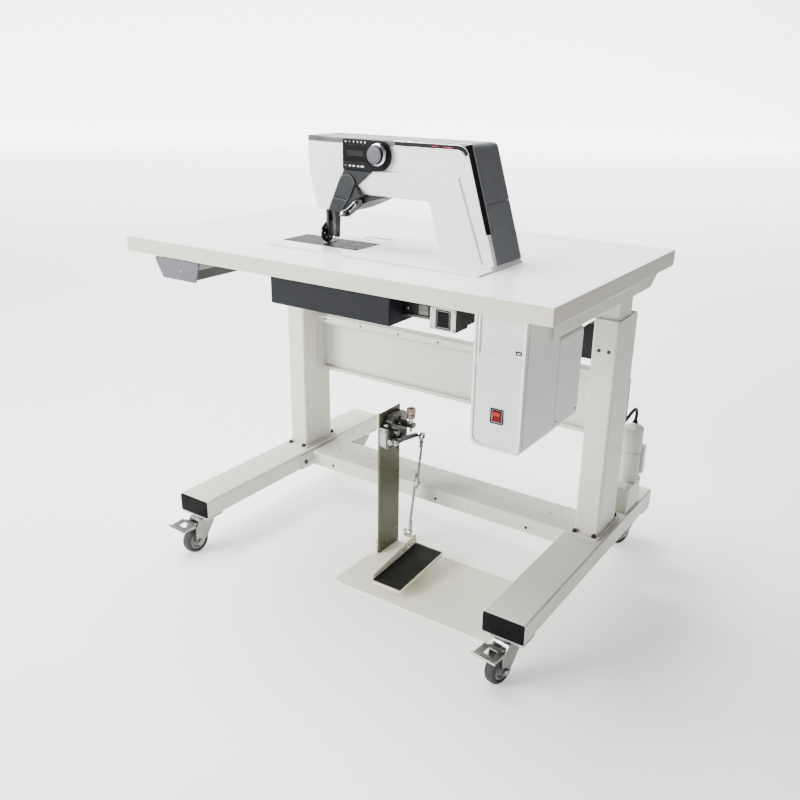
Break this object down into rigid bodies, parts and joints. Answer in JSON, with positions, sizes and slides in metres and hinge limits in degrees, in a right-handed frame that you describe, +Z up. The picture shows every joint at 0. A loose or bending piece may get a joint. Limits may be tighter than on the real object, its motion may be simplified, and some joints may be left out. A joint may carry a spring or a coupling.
{
  "type": "leather sewing machine",
  "caption": "Flat-bed leather sewing machine with a roller foot on a motor-lifted table with drawer, control box, castered frame and foot pedal stand.",
  "frame": {"origin": "on the floor, under the centre of the footprint", "axes": "+X to the operator's right along the table's long side, +Y away from the operator, +Z up; the operator sits at -Y"},
  "size_m": [1.2, 0.9062, 1.189],
  "materials": {
    "frame_paint": "satin powder coat, slightly textured",
    "black_plastic": "matt moulded",
    "zinc": "zinc plated",
    "motor_paint": "satin paint",
    "gunmetal": "dark satin paint with oily bare steel",
    "knob_brass": "knurled, dull plated",
    "tyre_grey": "grey rubber tyre on a plastic hub",
    "laminate": "white laminate with ivory edge band",
    "drawer_plastic": "moulded, fine texture",
    "blue_grey": "satin textured",
    "switch_case": "satin paint",
    "control_paint": "satin paint",
    "red_plastic": "gloss",
    "machine_white": "semi-gloss enamel",
    "dark_grey": "semi-gloss dark grey",
    "chrome_trim": "polished, with a gloss black strip",
    "steel": "fine ground steel",
    "black_steel": "blackened, bright edge"
  },
  "bodies": {
    "stand": {"foot_beams": "frame_paint", "beam_end_caps": "black_plastic", "crossbeam": "frame_paint", "frame_bolts": "zinc", "outer_columns": "frame_paint", "modesty_panel": "frame_paint", "lift_motor": "motor_paint", "lift_gearbox": "motor_paint", "lift_motor_lead": "black_plastic", "lift_control_box": "black_plastic", "caster_plates": "zinc", "floor_plate": "frame_paint", "pedal_post": "frame_paint", "speed_control": "gunmetal", "control_spring": "zinc"},
    "table": {"tabletop": "laminate", "table_rails": "frame_paint", "inner_columns": "frame_paint", "drawer_runners": "black_plastic", "underbed_cover": "blue_grey", "oil_pan": "black_plastic", "switch_box": "switch_case", "control_box": "control_paint", "control_box_front": "control_paint", "head_hinges": "zinc"},
    "head": {"bed": "machine_white", "needle_plate": "steel", "arm_shell": "machine_white", "top_cover": "machine_white", "upper_end_cover": "dark_grey", "lower_end_cover": "dark_grey", "edge_trim": "chrome_trim", "control_panel": "dark_grey", "needle_cover": "dark_grey"},
    "drawer": {"drawer": "drawer_plastic"},
    "switch_rocker": {"switch_rocker": "black_plastic"},
    "power_rocker": {"power_rocker": "red_plastic"},
    "dial": {"dial": "chrome_trim"},
    "needle_bar": {"needle_bar": "steel"},
    "presser_foot": {"presser_foot": "steel"},
    "roller_foot": {"roller_foot": "steel"},
    "take_up_lever": {"take_up_lever": "black_steel"},
    "hook": {"hook": "steel"},
    "lift_screw_left": {"lift_screw_left": "zinc"},
    "lift_screw_right": {"lift_screw_right": "zinc"},
    "treadle": {"treadle": "frame_paint", "treadle_mat": "black_plastic"},
    "pitman_rods": {"pitman_rods": "zinc"},
    "control_lever": {"control_lever": "zinc"},
    "control_knob": {"control_knob": "knob_brass"},
    "front_left_fork": {"front_left_fork": "zinc"},
    "front_left_wheel": {"front_left_wheel": "tyre_grey"},
    "front_left_brake": {"front_left_brake": "zinc"},
    "front_right_fork": {"front_right_fork": "zinc"},
    "front_right_wheel": {"front_right_wheel": "tyre_grey"},
    "front_right_brake": {"front_right_brake": "zinc"},
    "rear_left_fork": {"rear_left_fork": "zinc"},
    "rear_left_wheel": {"rear_left_wheel": "tyre_grey"},
    "rear_right_fork": {"rear_right_fork": "zinc"},
    "rear_right_wheel": {"rear_right_wheel": "tyre_grey"}
  },
  "joints": [
    {"name": "table_lift", "type": "slide", "parent": "stand", "child": "table", "axis": [0, 0, 1], "range_m": [-0.045, 0.25]},
    {"name": "lift_screw_left_turn", "type": "hinge", "parent": "stand", "child": "lift_screw_left", "pos_m": [-0.5045, 0.192, 0.18], "axis": [0, 0, 1], "range_deg": [-900, 4600]},
    {"name": "lift_screw_right_turn", "type": "hinge", "parent": "stand", "child": "lift_screw_right", "pos_m": [0.5045, 0.192, 0.18], "axis": [0, 0, 1], "range_deg": [-900, 4600]},
    {"name": "head_tilt", "type": "hinge", "parent": "table", "child": "head", "pos_m": [0.108, -0.088, 0.922], "axis": [-1, 0, 0], "range_deg": [0, 78]},
    {"name": "drawer_slide", "type": "slide", "parent": "table", "child": "drawer", "axis": [0, -1, 0], "range_m": [0, 0.2]},
    {"name": "switch_rock", "type": "hinge", "parent": "table", "child": "switch_rocker", "pos_m": [0.33, -0.396, 0.8505], "axis": [1, 0, 0], "range_deg": [-8, 8]},
    {"name": "power_rock", "type": "hinge", "parent": "table", "child": "power_rocker", "pos_m": [0.476, -0.413, 0.6745], "axis": [1, 0, 0], "range_deg": [-8, 8]},
    {"name": "dial_turn", "type": "hinge", "parent": "head", "child": "dial", "pos_m": [0.062, -0.27, 1.157], "axis": [0, 1, 0], "continuous": true},
    {"name": "needle_bar_slide", "type": "slide", "parent": "head", "child": "needle_bar", "axis": [0, 0, 1], "range_m": [-0.012, 0.02]},
    {"name": "presser_lift", "type": "slide", "parent": "head", "child": "presser_foot", "axis": [0, 0, 1], "range_m": [0, 0.01], "stiffness_N_per_m": 2000, "springref_m": -0.005},
    {"name": "roller_turn", "type": "hinge", "parent": "presser_foot", "child": "roller_foot", "pos_m": [-0.122, -0.218, 0.9595], "axis": [1, 0, 0], "continuous": true},
    {"name": "take_up_turn", "type": "hinge", "parent": "head", "child": "take_up_lever", "pos_m": [0.002, -0.24, 1.048], "axis": [0, 1, 0], "range_deg": [-14, 3]},
    {"name": "hook_turn", "type": "hinge", "parent": "head", "child": "hook", "pos_m": [-0.11, -0.18, 0.902], "axis": [0, 1, 0], "continuous": true},
    {"name": "front_left_swivel", "type": "hinge", "parent": "stand", "child": "front_left_fork", "pos_m": [-0.5045, -0.352, 0.104], "axis": [0, 0, 1], "continuous": true},
    {"name": "front_left_roll", "type": "hinge", "parent": "front_left_fork", "child": "front_left_wheel", "pos_m": [-0.50729, -0.38388, 0.039], "axis": [0.9962, -0.0872, 0], "continuous": true},
    {"name": "front_left_brake_press", "type": "hinge", "parent": "front_left_fork", "child": "front_left_brake", "pos_m": [-0.50711, -0.38189, 0.0935], "axis": [0.9962, -0.0872, 0], "range_deg": [-4, 6]},
    {"name": "front_right_swivel", "type": "hinge", "parent": "stand", "child": "front_right_fork", "pos_m": [0.5045, -0.352, 0.104], "axis": [0, 0, 1], "continuous": true},
    {"name": "front_right_roll", "type": "hinge", "parent": "front_right_fork", "child": "front_right_wheel", "pos_m": [0.49949, -0.38361, 0.039], "axis": [0.9877, -0.1564, 0], "continuous": true},
    {"name": "front_right_brake_press", "type": "hinge", "parent": "front_right_fork", "child": "front_right_brake", "pos_m": [0.49981, -0.38163, 0.0935], "axis": [0.9877, -0.1564, 0], "range_deg": [-4, 6]},
    {"name": "rear_left_swivel", "type": "hinge", "parent": "stand", "child": "rear_left_fork", "pos_m": [-0.5045, 0.422, 0.104], "axis": [0, 0, 1], "continuous": true},
    {"name": "rear_left_roll", "type": "hinge", "parent": "rear_left_fork", "child": "rear_left_wheel", "pos_m": [-0.51649, 0.39233, 0.039], "axis": [0.9272, -0.3746, 0], "continuous": true},
    {"name": "rear_right_swivel", "type": "hinge", "parent": "stand", "child": "rear_right_fork", "pos_m": [0.5045, 0.422, 0.104], "axis": [0, 0, 1], "continuous": true},
    {"name": "rear_right_roll", "type": "hinge", "parent": "rear_right_fork", "child": "rear_right_wheel", "pos_m": [0.49251, 0.39233, 0.039], "axis": [0.9272, -0.3746, 0], "continuous": true},
    {"name": "treadle_tilt", "type": "hinge", "parent": "stand", "child": "treadle", "pos_m": [0.083, -0.19, 0.015], "axis": [-1, 0, 0], "range_deg": [-3, 8], "stiffness_Nm_per_rad": 3, "springref_deg": -2.5},
    {"name": "pitman_swing", "type": "hinge", "parent": "treadle", "child": "pitman_rods", "pos_m": [0.026, -0.047, 0.083], "axis": [1, 0, 0], "range_deg": [-5, 12]},
    {"name": "control_lever_turn", "type": "hinge", "parent": "stand", "child": "control_lever", "pos_m": [-0.008, -0.058, 0.372], "axis": [-1, 0, 0], "range_deg": [-5, 12]},
    {"name": "control_knob_turn", "type": "hinge", "parent": "stand", "child": "control_knob", "pos_m": [0.003, -0.017, 0.43], "axis": [0, 0, 1], "continuous": true}
  ],
  "couplings": [
    {"joint": "lift_screw_left_turn", "follows": "table_lift", "rad_per_m": 314.16},
    {"joint": "lift_screw_right_turn", "follows": "table_lift", "rad_per_m": 314.16},
    {"joint": "pitman_swing", "follows": "treadle_tilt", "ratio": 1.331},
    {"joint": "control_lever_turn", "follows": "treadle_tilt", "ratio": 1.342}
  ]
}
